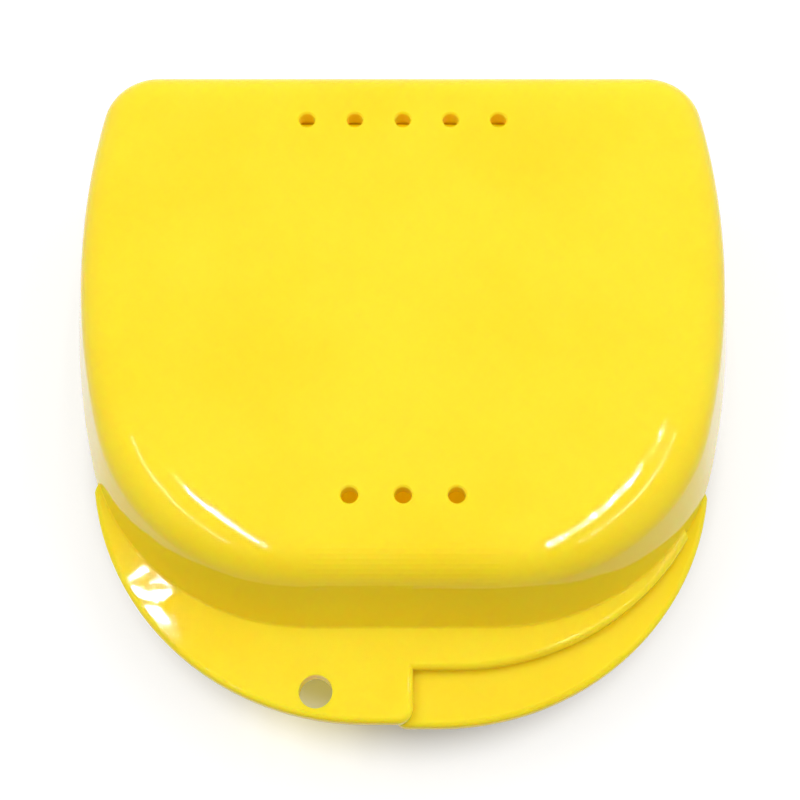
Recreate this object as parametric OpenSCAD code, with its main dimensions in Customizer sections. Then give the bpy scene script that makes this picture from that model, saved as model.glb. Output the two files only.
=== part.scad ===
// Hinged case for an orthodontic retainer: two like shells, closed, joined by two hinge pins.
// Millimetres. X runs across the case, +Y to the hinge, +Z up. The origin is at the middle of
// the bottom of the box round the whole case.

/* [Case] */
// Width across the sides at the seam
case_w = 80.8; // [76:0.2:92]
// Length from the back wall to the front wall at the seam
body_l = 70.6; // [67:0.2:82]
// Height of each half from the seam to its flat outside
half_h = 14; // [12:0.5:18]
// Distance from the back wall to the widest place
wide_d = 23.4; // [21:0.2:27]
// Radius of the bulging sides
side_r = 100; // [94:1:120]
// Radius of the two front corners
front_r = 27.2; // [25.6:0.2:28.4]
// Radius of the two back corners
back_r = 9; // [8.8:0.2:12]
// Thickness of all the walls
wall_t = 1.6; // [1.2:0.1:2]
// Slope of the walls from upright, in degrees
draft = 12; // [9:1:13]
// Radius of the round edge above the walls
edge_r = 4.5; // [4:0.1:5]
// Radius of the gentle shoulder between the round edge and the flat top or bottom
shoulder_r = 16; // [12:1:18]
// How far the shoulder turns, in degrees
shoulder_a = 6; // [4:1:7]
// Rounding of the walls' outer edge at the seam
rim_round = 0.4; // [0.2:0.1:0.6]
// Gap between the two closed rims
seam = 0.2; // [0.1:0.05:0.4]

/* [Flanges] */
// Thickness of the flanges
flange_t = 2; // [1.6:0.1:2.6]
// Rounding of the flange edges
flange_round = 0.7; // [0.4:0.1:0.8]
// Radius of the fillet between the wall and the flange
foot_r = 0.5; // [0.4:0.1:0.8]
// How far the narrow rim stands out at the middle of the front
rim_l = 4.2; // [3.6:0.2:6]
// Radius of the narrow rim's corner
rim_r = 31.4; // [29:0.2:32]
// How far the rim's corner stays inside the widest place
rim_side = 3.1; // [2.7:0.1:3.7]
// How far each opening tab stands out at the middle of the front
tab_l = 10.3; // [9.5:0.1:13]
// Radius of the tab's outer corner
tab_r = 32.4; // [29:0.2:33]
// How far the tab's outer corner stays inside the widest place
tab_side = 4; // [3.5:0.1:4.6]
// Distance of the tab's end from the front wall
tab_end = 16.6; // [15:0.2:18]
// Distance of the narrow rim's end from the front wall
rim_end = 11; // [9:0.2:13]
// Slope at which the ends of the flange run back to the wall, in degrees
end_a = 65; // [55:1:75]
// How far each tab passes the middle of the case
tab_past = 1.1; // [0.6:0.1:2]
// Radius of the tab's corner near the middle
tab_corner_r = 1.7; // [1.5:0.1:3]

/* [Holes] */
// Diameter of the lanyard hole in the lid's tab
lanyard_d = 3.7; // [3:0.1:4.2]
// Distance of the lanyard hole from the middle of the case
lanyard_x = 9.6; // [7:0.2:12]
// Distance of the lanyard hole's centre from the front of the tab
lanyard_in = 3.4; // [3:0.1:4]
// Diameter of the vent holes
vent_d = 1.9; // [1.5:0.1:2.6]
// Bevel round the outer end of each vent hole
vent_bevel = 0.2; // [0.1:0.05:0.3]
// Distance between two vent holes in a row
vent_pitch = 5.8; // [4:0.2:7]
// Number of vent holes in the back row
back_vents = 5; // [3:2:7]
// Number of vent holes in the front row
front_vents = 3; // [1:2:5]
// Distance of the back row from the back wall
back_vent_d = 10.4; // [9.6:0.2:14]
// Distance of the front row from the front wall
front_vent_d = 11.6; // [10:0.2:16]

/* [Closing lip] */
// Height of the base's lip above the seam
lip_h = 1.6; // [1:0.1:2.2]
// Thickness of the lip
lip_t = 1; // [0.8:0.1:1.2]
// Gap between the lip and the inside of the lid
lip_gap = 0.3; // [0.2:0.05:0.4]
// How far the lip's foot runs down the inside of the base
lip_foot = 3; // [2:0.5:4]
// Length of the closing bead at the middle of the front
bead_l = 12; // [8:1:15]
// Radius of the closing bead
bead_r = 0.5; // [0.4:0.1:0.6]

/* [Hinge] */
// Distance of each hinge from the middle of the case
hinge_x = 18; // [15:0.5:19]
// Diameter of the hinge pins
pin_d = 2.2; // [1.8:0.1:2.4]
// Outside radius of the hinge barrels
barrel_r = 2.4; // [2.2:0.1:2.8]
// Width of the lid's tongue
tongue_w = 8; // [6:0.5:9]
// Width of each of the base's two ears
ear_w = 4; // [3:0.5:5]
// Gap between the moving and the fixed parts of the hinge
hinge_gap = 0.3; // [0.2:0.05:0.5]
// Gap all round a pin in the tongue
pin_play = 0.08; // [0.04:0.01:0.1]
// Squeeze all round a pin in the ears, which hold it fast
pin_press = 0.01; // [0.005:0.005:0.02]
// Angle at which the straps leave the barrels, in degrees below the axis
strap_a = 50; // [45:1:55]
// How far out in the barrel the back of the strap starts, as a share of its radius
strap_bite = 0.95; // [0.9:0.01:0.97]

/* [Hidden] */
$fn = 96;
plastic = [0.996, 0.906, 0.204];
// Overlap of pieces that are joined
lap = 0.3;
// How far the fillet is sunk into the wall and the flange
foot_sink = 0.03;
// Straight steps in the round stretches of the sections
rim_steps = 3;
edge_steps = 10;
shoulder_steps = 4;
foot_steps = 6;

// Places along Y
hinge_off = barrel_r + hinge_gap;
total_l = barrel_r + hinge_off + body_l + tab_l;
axis_y = total_l / 2 - barrel_r;
back_y = axis_y - hinge_off;
wide_y = back_y - wide_d;
front_y = back_y - body_l;
rim_y = front_y - rim_l;
tab_y = front_y - tab_l;
axis_z = half_h + seam / 2;

// The outline at the seam: side, front and back arcs that run smoothly into one another
front_a = round(1000 * asin((wide_y - front_y - front_r) / (side_r - front_r))) / 1000;
back_a = round(1000 * asin((back_y - back_r - wide_y) / (side_r - back_r))) / 1000;
side_c = [case_w / 2 - side_r, wide_y];
front_c = side_c + (side_r - front_r) * [cos(front_a), -sin(front_a)];
back_c = side_c + (side_r - back_r) * [cos(back_a), sin(back_a)];

// The wall's section, as distances inwards from the outline and upwards from the rim
wall_in = wall_t / cos(draft);
lip_in = wall_in + lip_gap;
shoulder_z = half_h - shoulder_r;
edge_z = shoulder_z + (shoulder_r - edge_r) * cos(shoulder_a);
edge_in = (edge_r + edge_z * sin(draft)) / cos(draft);
flat_in = edge_in + (shoulder_r - edge_r) * sin(shoulder_a);
rim_in = rim_round * (1 + sin(draft)) / cos(draft);
function sloped(z) = z * tan(draft);
// Points on an arc from angle a to angle b, the first one left out where the arc before it ends there
function arc(centre, r, a, b, steps, first = 0) = [
    for (i = [first : steps])
        let (t = a + (b - a) * i / steps)
            centre + r * [cos(t), sin(t)]
];
// Points round the edge and the shoulder, d inside their outer surface
function round_edge(d) = concat(
    arc([-edge_in, edge_z], edge_r - d, draft, 90 - shoulder_a, edge_steps),
    arc([-flat_in, shoulder_z], shoulder_r - d, 90 - shoulder_a, 90, shoulder_steps, 1),
    [[-flat_in - lap, half_h - d]]
);
function reversed(points) = [for (i = [len(points) - 1 : -1 : 0]) points[i]];

// The flanges' corners
tab_flat = case_w / 2 - tab_side - tab_r;
rim_flat = case_w / 2 - rim_side - rim_r;
strip_w = 2 * flange_round;
tab_end_p = [-tab_flat - sqrt(tab_r ^ 2 - (tab_end + tab_l - tab_r) ^ 2), front_y + tab_end];
rim_end_p = [rim_flat + sqrt(rim_r ^ 2 - (rim_end + rim_l - rim_r) ^ 2), front_y + rim_end];

// The hinge's stack along X
pin_l = tongue_w + 2 * hinge_gap + 2 * ear_w;
pin_end = pin_d / 8;
ear_x = (tongue_w + ear_w) / 2 + hinge_gap;

// Moves by a coarse and then a fine step, which keeps the joints between the arcs true
module place(p) {
    coarse = [for (v = p) round(100 * v) / 100];
    translate(coarse)
        translate(p - coarse)
            children();
}

// Sweeps a section round an arc of radius r; the section's own zero lies on the arc
module arc_sweep(centre, r, from, span) {
    place(centre)
        rotate_extrude(angle = span, start = from)
            translate([r, 0])
                children();
}

// Sweeps a section straight along X from its right end leftwards; its outside faces +Y
module run_sweep(right_end, length) {
    place(right_end)
        translate([-length, 0, 0])
            rotate([90, 0, 90])
                linear_extrude(length)
                    children();
}

// Sweeps a section along the front and round the front corners
module around_front() {
    for (side = [0, 1])
        mirror([side, 0, 0]) {
            mirror([0, 1, 0])
                run_sweep([front_c[0], front_r - front_c[1]], ceil(front_c[0]) + lap)
                    children();
            arc_sweep(front_c, front_r, -90, 90 - front_a)
                children();
        }
}

// Sweeps a section round the whole outline
module around_outline() {
    around_front()
        children();
    for (side = [0, 1])
        mirror([side, 0, 0]) {
            arc_sweep(side_c, side_r, -front_a, front_a + back_a)
                children();
            arc_sweep(back_c, back_r, back_a, 90 - back_a)
                children();
            run_sweep([back_c[0], back_c[1] + back_r], ceil(back_c[0]) + lap)
                children();
        }
}

// The piece of a disc outside the chord from a to b
module disc_piece(centre, r, a, b) {
    chord = b - a;
    intersection() {
        translate(centre)
            circle(r);
        polygon([a, a + chord / 2 + [chord[1], -chord[0]], b]);
    }
}

// The area inside the outline, d inwards from it
module outline_area(d) {
    front_end = front_c - [0, front_r - d];
    front_side = front_c + (front_r - d) * [cos(front_a), -sin(front_a)];
    back_side = back_c + (back_r - d) * [cos(back_a), sin(back_a)];
    back_end = back_c + [0, back_r - d];
    half = [front_end, front_side, back_side, back_end];
    polygon(concat(half, [for (i = [3:-1:0]) [-half[i][0], half[i][1]]]));
    for (side = [0, 1])
        mirror([side, 0]) {
            disc_piece(front_c, front_r - d, front_end, front_side);
            disc_piece(side_c, side_r - d, front_side, back_side);
            disc_piece(back_c, back_r - d, back_side, back_end);
        }
}

// Section of the wall: sloped, turning into the flat top through a round edge and a shoulder
module wall_section() {
    rim_edge = arc([-rim_in, rim_round], rim_round, -90, draft, rim_steps);
    inside = concat([[-wall_in, 0]], round_edge(wall_t));
    polygon(concat(rim_edge, round_edge(0), reversed(inside)));
}

// Section of the base's lip, which stands past the rim into the lid
module lip_section() {
    face = -lip_in;
    back = -lip_in - lip_t;
    slope = sloped(lip_h);
    polygon([
        [face - slope, -lip_h],
        [face, 0],
        [-wall_in / 2, 0],
        [-wall_in / 2 - sloped(lip_foot), lip_foot],
        [back, lip_foot / 2],
        [back, 0],
        [back - slope, -lip_h]
    ]);
}

// Section of the fillet between the wall and the flange, sunk a little into both
module foot_section() {
    rise = foot_r - foot_sink;
    foot_out = (rise - (flange_t + rise) * sin(draft)) / cos(draft);
    polygon(concat(
        arc([foot_out, flange_t + rise], foot_r, 180 + draft, 270, foot_steps),
        [[-wall_in / 2 - sloped(flange_t / 2), flange_t / 2]]
    ));
}

// Section of a flange's edge, rounded above and below
module edge_section() {
    translate([-strip_w, 0])
        square([strip_w - flange_round, flange_t]);
    translate([-strip_w, flange_round])
        square([strip_w, flange_t - 2 * flange_round]);
    for (z = [flange_round, flange_t - flange_round])
        translate([-flange_round, z])
            circle(flange_round);
}

// Area of the flange inside its rounded edge: the tab on the left, the narrow rim on the right
module flange_area(d) {
    tab_c = [-tab_flat, tab_y + tab_r];
    rim_c = [rim_flat, rim_y + rim_r];
    corner_c = [tab_past - tab_corner_r, tab_y + tab_corner_r];
    intersection() {
        translate(tab_c)
            circle(tab_r - d);
        translate(tab_c - [tab_r, tab_r])
            square([tab_r, tab_r]);
    }
    translate([-tab_flat, tab_y + d])
        square([corner_c[0] + tab_flat, tab_r - d]);
    translate(corner_c)
        circle(tab_corner_r - d);
    translate([-tab_flat, corner_c[1]])
        square([tab_past - d + tab_flat, tab_r - tab_corner_r]);
    translate([0, rim_y + d])
        square([rim_flat, rim_r - d]);
    intersection() {
        translate(rim_c)
            circle(rim_r - d);
        translate(rim_c - [0, rim_r])
            square([rim_r, rim_r]);
    }
}

// Flange along the front: a tab to open the case by on the left, a narrow rim on the right
module flange() {
    edge_l = tab_l - rim_l - tab_corner_r + strip_w;
    difference() {
        union() {
            linear_extrude(flange_t)
                flange_area(flange_round);
            arc_sweep([-tab_flat, tab_y + tab_r], tab_r, 180, 90)
                edge_section();
            mirror([0, 1, 0])
                run_sweep([tab_past - tab_corner_r, -tab_y], tab_past - tab_corner_r + tab_flat)
                    edge_section();
            arc_sweep([tab_past - tab_corner_r, tab_y + tab_corner_r], tab_corner_r, -90, 90)
                edge_section();
            translate([tab_past, tab_y + tab_corner_r, 0])
                rotate([0, 0, -90])
                    run_sweep([0, 0], edge_l)
                        edge_section();
            mirror([0, 1, 0])
                run_sweep([rim_flat, -rim_y], rim_flat - tab_past + strip_w)
                    edge_section();
            arc_sweep([rim_flat, rim_y + rim_r], rim_r, -90, 90)
                edge_section();
        }
        translate([0, 0, -lap])
            linear_extrude(flange_t + 2 * lap)
                outline_area(wall_in / 2 + sloped(flange_t) / 2);
    }
}

// Fillet along the foot of the wall, as far as the flange goes
module foot() {
    intersection() {
        around_front()
            foot_section();
        linear_extrude(flange_t + foot_r)
            flange_area(flange_round);
    }
}

// The area before one end of the flange, which runs back from p at slope a
module before_end(p, a) {
    translate(p)
        rotate(a)
            translate([-case_w, -case_w])
                square([2 * case_w, case_w]);
}

// The flange with its fillet, cut off at both ends
module cut_flange() {
    intersection() {
        union() {
            flange();
            foot();
        }
        linear_extrude(flange_t + foot_r)
            intersection() {
                before_end(tab_end_p, end_a);
                before_end(rim_end_p, -end_a);
            }
    }
}

// A row of vent holes through the flat top, bevelled outside
module vent_row(count, y) {
    for (i = [0 : count - 1])
        translate([(i - (count - 1) / 2) * vent_pitch, y, half_h]) {
            translate([0, 0, -wall_t - lap])
                cylinder(h = wall_t + 2 * lap, d = vent_d);
            translate([0, 0, -vent_bevel])
                cylinder(h = 2 * vent_bevel, d1 = vent_d, d2 = vent_d + 4 * vent_bevel);
        }
}

// One half of the case, rim down, without its hinge; a child is added to the wall's section
module half_shell() {
    difference() {
        union() {
            around_outline() {
                wall_section();
                children();
            }
            translate([0, 0, half_h - wall_t])
                linear_extrude(wall_t)
                    outline_area(flat_in + lap / 2);
            cut_flange();
        }
        vent_row(back_vents, back_y - back_vent_d);
        vent_row(front_vents, front_y + front_vent_d);
    }
}

// Barrel of a hinge with the strap that carries it on the back wall, rim down
module knuckle(x, width) {
    leave = strap_bite * barrel_r * [sin(strap_a), cos(strap_a)];
    root_y = -hinge_off - wall_in;
    root_z = leave[1] + (leave[0] - root_y) * tan(90 - strap_a);
    low_z = seam / 2 + hinge_gap;
    translate([x - width / 2, axis_y, -seam / 2])
        rotate([90, 0, 90])
            linear_extrude(width) {
                circle(barrel_r);
                polygon([[root_y, low_z], [0, low_z], leave, [root_y, root_z]]);
            }
}

// Hole for a hinge pin through one or more barrels
module pin_hole(x, width, d) {
    translate([x - width / 2 - lap, axis_y, -seam / 2])
        rotate([0, 90, 0])
            cylinder(h = width + 2 * lap, d = d);
}

// Lid: the upper half, with the lanyard hole in its tab and a tongue at each hinge
module lid_shell() {
    color(plastic)
        translate([0, 0, half_h + seam])
            difference() {
                union() {
                    half_shell();
                    for (x = [-hinge_x, hinge_x])
                        knuckle(x, tongue_w);
                }
                for (x = [-hinge_x, hinge_x])
                    pin_hole(x, tongue_w, pin_d + 2 * pin_play);
                translate([-lanyard_x, tab_y + lanyard_in, -lap])
                    cylinder(h = flange_t + 2 * lap, d = lanyard_d);
            }
}

// Base: the lower half, with the closing lip, its bead and two ears at each hinge
module base_shell() {
    bead_in = lip_in + sloped(lip_h / 2) + bead_r - lip_gap / 2;
    color(plastic)
        translate([0, 0, half_h])
            mirror([0, 0, 1])
                mirror([1, 0, 0])
                    difference() {
                        union() {
                            half_shell()
                                lip_section();
                            for (x = [-hinge_x, hinge_x], side = [-1, 1])
                                knuckle(x + side * ear_x, ear_w);
                            translate([-bead_l / 2, front_y + bead_in, -lip_h / 2])
                                rotate([0, 90, 0])
                                    cylinder(h = bead_l, r = bead_r);
                        }
                        for (x = [-hinge_x, hinge_x])
                            pin_hole(x, pin_l, pin_d - 2 * pin_press);
                    }
}

// A hinge pin with its two ends tapered
module hinge_pin(x) {
    color(plastic)
        translate([x, axis_y, axis_z])
            rotate([0, 90, 0])
                rotate_extrude()
                    polygon([
                        [0, -pin_l / 2],
                        [pin_d / 2 - pin_end, -pin_l / 2],
                        [pin_d / 2, -pin_l / 2 + pin_end],
                        [pin_d / 2, pin_l / 2 - pin_end],
                        [pin_d / 2 - pin_end, pin_l / 2],
                        [0, pin_l / 2]
                    ]);
}

module hinge_pin_left() {
    hinge_pin(-hinge_x);
}

module hinge_pin_right() {
    hinge_pin(hinge_x);
}

base_shell();
lid_shell();
hinge_pin_left();
hinge_pin_right();
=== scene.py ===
"""Looks of a yellow retainer case: moulded plastic, a white table, soft light and the photo's view."""

import math

import bmesh
import bpy
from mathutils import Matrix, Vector

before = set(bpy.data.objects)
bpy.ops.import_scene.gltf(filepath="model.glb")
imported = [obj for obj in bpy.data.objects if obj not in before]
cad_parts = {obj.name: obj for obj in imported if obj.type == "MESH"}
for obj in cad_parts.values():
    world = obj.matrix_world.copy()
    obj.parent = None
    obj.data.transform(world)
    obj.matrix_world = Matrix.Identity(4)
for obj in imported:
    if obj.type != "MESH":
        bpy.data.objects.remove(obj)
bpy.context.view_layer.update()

MM = 0.001

# View of the case
IMAGE_PX = 800
SENSOR_WIDTH = 36.0
FOCAL_PX = 1500.0
CAMERA_DISTANCE = 166.12 * MM
CAMERA_ELEVATION = math.radians(65.33)
CAMERA_NEAR = 1 * MM
VIEW_CENTRE = Vector((-0.33, -9.9, 28.2)) * MM

# Moulded plastic: colours, gloss and scatter
YELLOW_LIGHT = (0.985, 0.745, 0.032, 1.0)
YELLOW_DEEP = (0.955, 0.695, 0.023, 1.0)
PIN_LIGHT = (0.96, 0.72, 0.012, 1.0)
PIN_DEEP = (0.90, 0.63, 0.008, 1.0)
PLASTIC_IOR = 1.4
PLASTIC_SPECULAR = 0.14
SCATTER_SHARE = 0.9
SCATTER_DEPTH = 1.6 * MM
SCATTER_TINT = (1.0, 0.5, 0.04)

# Moulded plastic: patterns, with their scales in patches to a millimetre
NOISE_MIDDLE = (0.3, 0.7)
CLOUD_SCALE = 0.05
CLOUD_SHARE = 0.75
PIGMENT_SCALE = 7.0
PIGMENT_SHARE = 0.25
SCUFF_STRETCH = (0.16, 5.0, 5.0)
SCUFF_TURN = (0.0, 0.0, math.radians(24))
SCUFF_EDGE = (0.66, 0.74)
SCUFF_ROUGHNESS = 0.04
HAZE_SCALE = 0.12
HAZE_ROUGHNESS = (0.02, 0.035)
SINK_SCALE = 0.16
SINK_DEPTH = 0.06 * MM
PEEL_SCALE = 0.9
PEEL_DEPTH = 0.0006 * MM
POLISH_STRETCH = (0.5, 6.0, 6.0)
POLISH_TURN = (0.0, 0.0, math.radians(-38))
POLISH_DEPTH = 0.00006 * MM

# Smooth shading of the solids
SMOOTH_ANGLE = math.radians(32)
WELD_REACH = 0.002 * MM

# Table: half sizes in millimetres for the ring round the case, and reaches counted in those half sizes
TABLE_HALF = 2.5
TABLE_LEVEL = -0.02 * MM
CASE_HALF = (40, 43)
# Painted shadow: the floor's glow is off beneath the case and rises just outside its outline
TABLE_PAINTED_SHADOW_REACH = (0.86, 1.06)
# Painted pool of light: round the case the table is whiter and glows more, further out it is greyer and
# glows less
TABLE_OUT = (1.9, 6.0)
TABLE_WHITE = (0.42, 0.42, 0.42, 1.0)
TABLE_PAINTED_FADE_GREY = (0.38, 0.38, 0.38, 1.0)
TABLE_GLOW = 0.62
TABLE_FAR_GLOW = 0.44

# Light from all round, weaker from above the front
SKY_LEVEL = 1.09
FRONT_LEVEL = 0.27
FRONT_FADE = (-0.75, -0.3)

# Light through the thin walls of the lid
GLOW_COLOUR = (1.0, 0.82, 0.03)
LID_GLOW = {
    "power": 0.0076,
    "size": (46 * MM, 40 * MM),
    "place": (0.0, 16 * MM, 25.6 * MM),
}
TAB_GLOW = {
    "power": 0.00046,
    "size": (12 * MM, 8 * MM),
    "place": (-10.5 * MM, -36 * MM, 6 * MM),
}

# Long lamps over the case: two rows of small lamps, and an even panel outside each row
LAMP_HEIGHT = 1000 * MM
LAMP_DROP = 10 * MM
DOT_PITCH = 22 * MM
DOT_EDGE = (0.18, 0.24)
DOT_LEVEL = {"left": 430.0, "right": 400.0}
PANEL_LEVEL = 34.0
LAMP_ROW = {
    "left": {"x": -200 * MM, "y": (-255 * MM, 340 * MM), "width": 32 * MM, "power": 0.78},
    "right": {"x": 238 * MM, "y": (-280 * MM, 385 * MM), "width": 46 * MM, "power": 0.98},
}
LAMP_PANEL = {
    "left": {"x": -520 * MM, "y": (-520 * MM, 300 * MM), "width": 58 * MM, "power": 2.1},
    "right": {"x": 520 * MM, "y": (-520 * MM, 300 * MM), "width": 58 * MM, "power": 2.1},
}


def new_material(name):
    """An empty node material and its node tree."""
    material = bpy.data.materials.new(name)
    material.use_nodes = True
    material.node_tree.nodes.clear()
    return material, material.node_tree


def add_node(tree, kind, inputs=None, **settings):
    """One node with its settings, its inputs linked to a given socket or set to a given value."""
    node = tree.nodes.new(kind)
    for name, value in settings.items():
        setattr(node, name, value)
    for socket, value in (inputs or {}).items():
        if isinstance(value, bpy.types.NodeSocket):
            tree.links.new(value, node.inputs[socket])
        else:
            node.inputs[socket].default_value = value
    return node


def object_millimetres(tree, stretch=(1, 1, 1), turn=(0, 0, 0)):
    """Object coordinates counted in millimetres, turned and stretched for a pattern."""
    place = add_node(tree, "ShaderNodeTexCoord")
    scale = tuple(s / MM for s in stretch)
    mapping = add_node(
        tree,
        "ShaderNodeMapping",
        {"Vector": place.outputs["Object"], "Scale": scale, "Rotation": turn},
    )
    return mapping.outputs["Vector"]


def noise(tree, where, per_mm, detail=2.0, roughness=0.5):
    """Soft noise with that many patches to a millimetre."""
    node = add_node(
        tree,
        "ShaderNodeTexNoise",
        {"Vector": where, "Scale": per_mm, "Detail": detail, "Roughness": roughness},
    )
    return node.outputs["Fac"]


def remap(tree, value, low, high, to_low, to_high):
    """The value spread from one range to another, smoothly and held at its ends."""
    node = add_node(
        tree,
        "ShaderNodeMapRange",
        {"Value": value, "From Min": low, "From Max": high, "To Min": to_low, "To Max": to_high},
        interpolation_type="SMOOTHSTEP",
    )
    return node.outputs["Result"]


def combine(tree, operation, first, second=0.0):
    """One or two values worked by a mathematical operation."""
    node = add_node(tree, "ShaderNodeMath", {0: first, 1: second}, operation=operation)
    return node.outputs["Value"]


def blend(tree, share, first, second):
    """Two colours mixed, with that share of the second."""
    node = add_node(tree, "ShaderNodeMix", {"Factor": share, "A": first, "B": second}, data_type="RGBA")
    return node.outputs["Result"]


def relief(tree, height, depth, **below):
    """Normal of a fine relief of that depth, on top of the relief below it."""
    inputs = {"Height": height, "Strength": 1.0, "Distance": depth, **below}
    return add_node(tree, "ShaderNodeBump", inputs).outputs["Normal"]


def surface(tree, look):
    """Makes a shader the surface of its material."""
    add_node(tree, "ShaderNodeOutputMaterial", {"Surface": look})


def moulded_plastic(name, light, deep):
    """Glossy moulded plastic: cloudy pigment, sinks, orange peel, polishing lines and scuffs."""
    material, tree = new_material(name)
    plain = object_millimetres(tree)
    clouds = noise(tree, plain, CLOUD_SCALE, detail=3.0, roughness=0.55)
    pigment = noise(tree, plain, PIGMENT_SCALE, detail=3.0, roughness=0.6)
    cloud_tint = remap(tree, clouds, *NOISE_MIDDLE, 0.0, CLOUD_SHARE)
    pigment_tint = remap(tree, pigment, *NOISE_MIDDLE, 0.0, PIGMENT_SHARE)
    tint = combine(tree, "ADD", cloud_tint, pigment_tint)

    scuff_lines = object_millimetres(tree, SCUFF_STRETCH, SCUFF_TURN)
    scuffs = remap(tree, noise(tree, scuff_lines, 1.0, roughness=0.6), *SCUFF_EDGE, 0.0, 1.0)
    haze = remap(tree, noise(tree, plain, HAZE_SCALE), *NOISE_MIDDLE, *HAZE_ROUGHNESS)
    gloss = combine(tree, "ADD", haze, combine(tree, "MULTIPLY", scuffs, SCUFF_ROUGHNESS))

    polish_lines = object_millimetres(tree, POLISH_STRETCH, POLISH_TURN)
    sinks = relief(tree, noise(tree, plain, SINK_SCALE, detail=1.0), SINK_DEPTH)
    peel = relief(tree, noise(tree, plain, PEEL_SCALE), PEEL_DEPTH, Normal=sinks)
    polish = relief(tree, noise(tree, polish_lines, 1.0, detail=1.0), POLISH_DEPTH, Normal=peel)

    shader = add_node(
        tree,
        "ShaderNodeBsdfPrincipled",
        {
            "Base Color": blend(tree, tint, light, deep),
            "Roughness": gloss,
            "IOR": PLASTIC_IOR,
            "Specular IOR Level": PLASTIC_SPECULAR,
            "Normal": polish,
            "Subsurface Weight": SCATTER_SHARE,
            "Subsurface Radius": SCATTER_TINT,
            "Subsurface Scale": SCATTER_DEPTH,
        },
    )
    surface(tree, shader.outputs["BSDF"])
    return material


def smooth_shading_group():
    """Marks as sharp only the edges that turn by more than the smooth angle."""
    group = bpy.data.node_groups.new("smooth_by_angle", "GeometryNodeTree")
    for way in ("INPUT", "OUTPUT"):
        group.interface.new_socket("Geometry", in_out=way, socket_type="NodeSocketGeometry")
    entry = add_node(group, "NodeGroupInput")
    angle = add_node(group, "GeometryNodeInputMeshEdgeAngle")
    gentle = add_node(
        group,
        "FunctionNodeCompare",
        {"A": angle.outputs["Unsigned Angle"], "B": SMOOTH_ANGLE},
        data_type="FLOAT",
        operation="LESS_THAN",
    )
    shade = add_node(
        group,
        "GeometryNodeSetShadeSmooth",
        {"Geometry": entry.outputs["Geometry"], "Shade Smooth": gentle.outputs["Result"]},
        domain="EDGE",
    )
    add_node(group, "NodeGroupOutput", {"Geometry": shade.outputs["Geometry"]})
    return group


def shade_solid(solid, material, group):
    """Gives a solid its material and joins the shading of its faces across the round edges."""
    for slot in solid.material_slots:
        slot.material = material
    weld = solid.modifiers.new("weld", "WELD")
    weld.merge_threshold = WELD_REACH
    smooth = solid.modifiers.new("smooth_by_angle", "NODES")
    smooth.node_group = group
    normals = solid.modifiers.new("weighted_normals", "WEIGHTED_NORMAL")
    normals.keep_sharp = True


def flat_sheet(name, low, high, height, material):
    """A level rectangle of the studio between two corners."""
    mesh = bpy.data.meshes.new(name)
    sheet = bmesh.new()
    bmesh.ops.create_grid(sheet, x_segments=1, y_segments=1, size=0.5)
    middle = Vector(((low[0] + high[0]) / 2, (low[1] + high[1]) / 2, height))
    bmesh.ops.scale(sheet, vec=(high[0] - low[0], high[1] - low[1], 1), verts=sheet.verts)
    bmesh.ops.translate(sheet, vec=middle, verts=sheet.verts)
    sheet.to_mesh(mesh)
    sheet.free()
    mesh.materials.append(material)
    obj = bpy.data.objects.new(name, mesh)
    bpy.context.scene.collection.objects.link(obj)
    return obj


def table_white():
    """Matt table top that keeps the shadow, with a painted pool of light: white round the case, a little
    greyer and dimmer further out, and painted shadow where its glow is off beneath the case.
    """
    material, tree = new_material("table_white")
    place = object_millimetres(tree, (1 / CASE_HALF[0], 1 / CASE_HALF[1], 1))
    reach = add_node(tree, "ShaderNodeVectorMath", {0: place}, operation="LENGTH").outputs["Value"]
    # Painted fall-off of the pool of light further out, in the diffuse colour and in the glow
    far = remap(tree, reach, *TABLE_OUT, 0.0, 1.0)
    paper = add_node(tree, "ShaderNodeBsdfDiffuse", {"Color": blend(tree, far, TABLE_WHITE, TABLE_PAINTED_FADE_GREY)})

    path = add_node(tree, "ShaderNodeLightPath")
    seen = combine(tree, "MAXIMUM", path.outputs["Is Camera Ray"], path.outputs["Is Glossy Ray"])
    seen = combine(tree, "MAXIMUM", seen, path.outputs["Is Transmission Ray"])
    # Painted shadow: no glow beneath the case, rising just outside its outline
    seen = combine(tree, "MULTIPLY", seen, remap(tree, reach, *TABLE_PAINTED_SHADOW_REACH, 0.0, 1.0))
    level = remap(tree, far, 0.0, 1.0, TABLE_GLOW, TABLE_FAR_GLOW)
    glow = add_node(tree, "ShaderNodeEmission", {"Strength": combine(tree, "MULTIPLY", seen, level)})

    both = add_node(tree, "ShaderNodeAddShader", {0: paper.outputs["BSDF"], 1: glow.outputs["Emission"]})
    surface(tree, both.outputs["Shader"])
    return material


def lamp_dots(name, level):
    """Row of small bright lamps along Y."""
    material, tree = new_material(name)
    place = add_node(tree, "ShaderNodeTexCoord")
    parts = add_node(tree, "ShaderNodeSeparateXYZ", {"Vector": place.outputs["Object"]})
    step = combine(tree, "FRACT", combine(tree, "DIVIDE", parts.outputs["Y"], DOT_PITCH))
    off_middle = combine(tree, "ABSOLUTE", combine(tree, "SUBTRACT", step, 0.5))
    dots = remap(tree, off_middle, *DOT_EDGE, level, 0.0)
    surface(tree, add_node(tree, "ShaderNodeEmission", {"Strength": dots}).outputs["Emission"])
    return material


def lamp_sheet():
    """Even soft light of a side panel."""
    material, tree = new_material("lamp_sheet")
    surface(tree, add_node(tree, "ShaderNodeEmission", {"Strength": PANEL_LEVEL}).outputs["Emission"])
    return material


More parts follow.
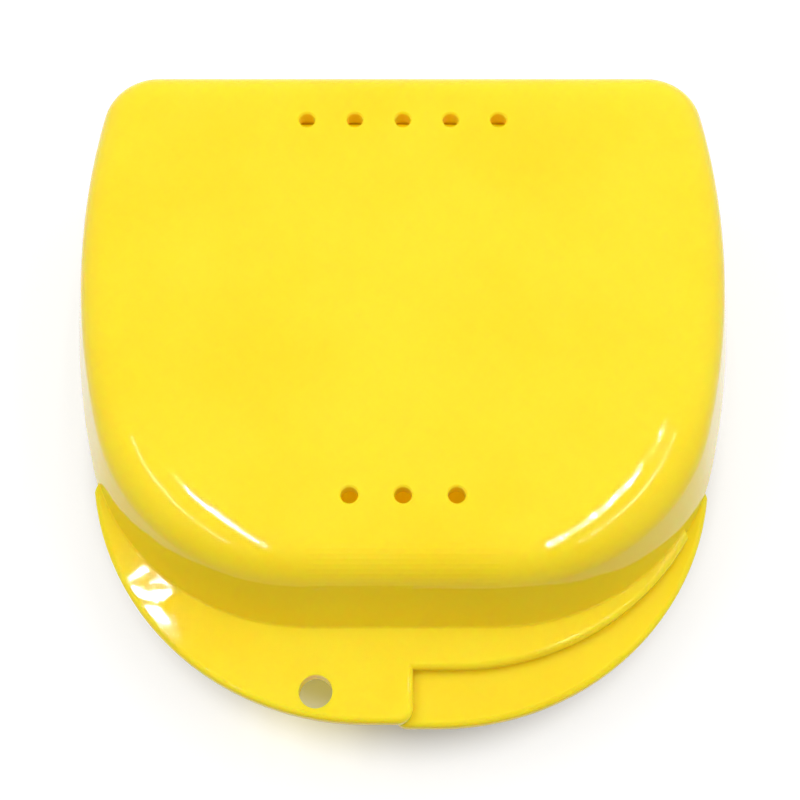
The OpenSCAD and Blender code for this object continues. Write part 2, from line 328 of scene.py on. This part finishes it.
def soft_lamp(name, size, place, power, colour=(1, 1, 1)):
    """A level lamp that lights what is below it and isn't seen or mirrored itself."""
    data = bpy.data.lights.new(name, "AREA")
    data.shape = "RECTANGLE"
    data.size, data.size_y = size
    data.color = colour
    data.energy = power
    lamp = bpy.data.objects.new(name, data)
    lamp.location = place
    lamp.visible_camera = False
    lamp.visible_glossy = False
    bpy.context.scene.collection.objects.link(lamp)
    return lamp


def light_through(solid, name, glow):
    """Faint amber lamp that rides on a solid, for the light that comes through its thin walls."""
    lamp = soft_lamp(name, glow["size"], glow["place"], glow["power"], GLOW_COLOUR)
    lamp.parent = solid


def light_only(lamp, solid):
    """Lets a lamp shine on one solid alone."""
    lit = bpy.data.collections.new(lamp.name + "_lit")
    lit.objects.link(solid)
    lamp.light_linking.receiver_collection = lit


def hang_lamp(name, solid, lamp, look):
    """A long lamp: a bright sheet that is only mirrored in one solid, and a soft lamp for its light."""
    x, width = lamp["x"], lamp["width"]
    low, high = lamp["y"]
    sheet = flat_sheet("lamp_" + name, (x - width / 2, low), (x + width / 2, high), LAMP_HEIGHT, look)
    sheet.visible_diffuse = False
    light_only(sheet, solid)
    place = (x, (low + high) / 2, LAMP_HEIGHT - LAMP_DROP)
    soft_lamp("light_" + name, (width, high - low), place, lamp["power"])


def studio_sky():
    """Soft white light from all round, weaker from above the front."""
    world = bpy.data.worlds.new("studio_sky")
    world.use_nodes = True
    tree = world.node_tree
    tree.nodes.clear()
    place = add_node(tree, "ShaderNodeTexCoord")
    parts = add_node(tree, "ShaderNodeSeparateXYZ", {"Vector": place.outputs["Generated"]})
    level = remap(tree, parts.outputs["Y"], *FRONT_FADE, FRONT_LEVEL, SKY_LEVEL)
    sky = add_node(tree, "ShaderNodeBackground", {"Strength": level})
    add_node(tree, "ShaderNodeOutputWorld", {"Surface": sky.outputs["Background"]})
    bpy.context.scene.world = world


def add_camera():
    """Camera at the photo's view."""
    data = bpy.data.cameras.new("camera")
    data.sensor_width = SENSOR_WIDTH
    data.lens = FOCAL_PX / IMAGE_PX * SENSOR_WIDTH
    data.clip_start = CAMERA_NEAR
    camera = bpy.data.objects.new("camera", data)
    back = Vector((0, -math.cos(CAMERA_ELEVATION), math.sin(CAMERA_ELEVATION)))
    camera.location = VIEW_CENTRE + back * CAMERA_DISTANCE
    camera.rotation_euler = (math.pi / 2 - CAMERA_ELEVATION, 0, 0)
    bpy.context.scene.collection.objects.link(camera)
    bpy.context.scene.camera = camera


yellow_plastic = moulded_plastic("yellow_moulded_plastic", YELLOW_LIGHT, YELLOW_DEEP)
pin_plastic = moulded_plastic("pin_moulded_plastic", PIN_LIGHT, PIN_DEEP)
smooth_by_angle = smooth_shading_group()
for node_name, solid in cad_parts.items():
    shade_solid(solid, pin_plastic if "pin" in node_name else yellow_plastic, smooth_by_angle)

flat_sheet("table", (-TABLE_HALF, -TABLE_HALF), (TABLE_HALF, TABLE_HALF), TABLE_LEVEL, table_white())
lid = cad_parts["lid_shell"]
panel_light = lamp_sheet()
for side in ("left", "right"):
    row_light = lamp_dots("lamp_dots_" + side, DOT_LEVEL[side])
    hang_lamp("row_" + side, lid, LAMP_ROW[side], row_light)
    hang_lamp("panel_" + side, lid, LAMP_PANEL[side], panel_light)
light_through(lid, "light_through_top", LID_GLOW)
light_through(lid, "light_through_tab", TAB_GLOW)
studio_sky()
add_camera()
bpy.context.scene.view_settings.view_transform = "Standard"
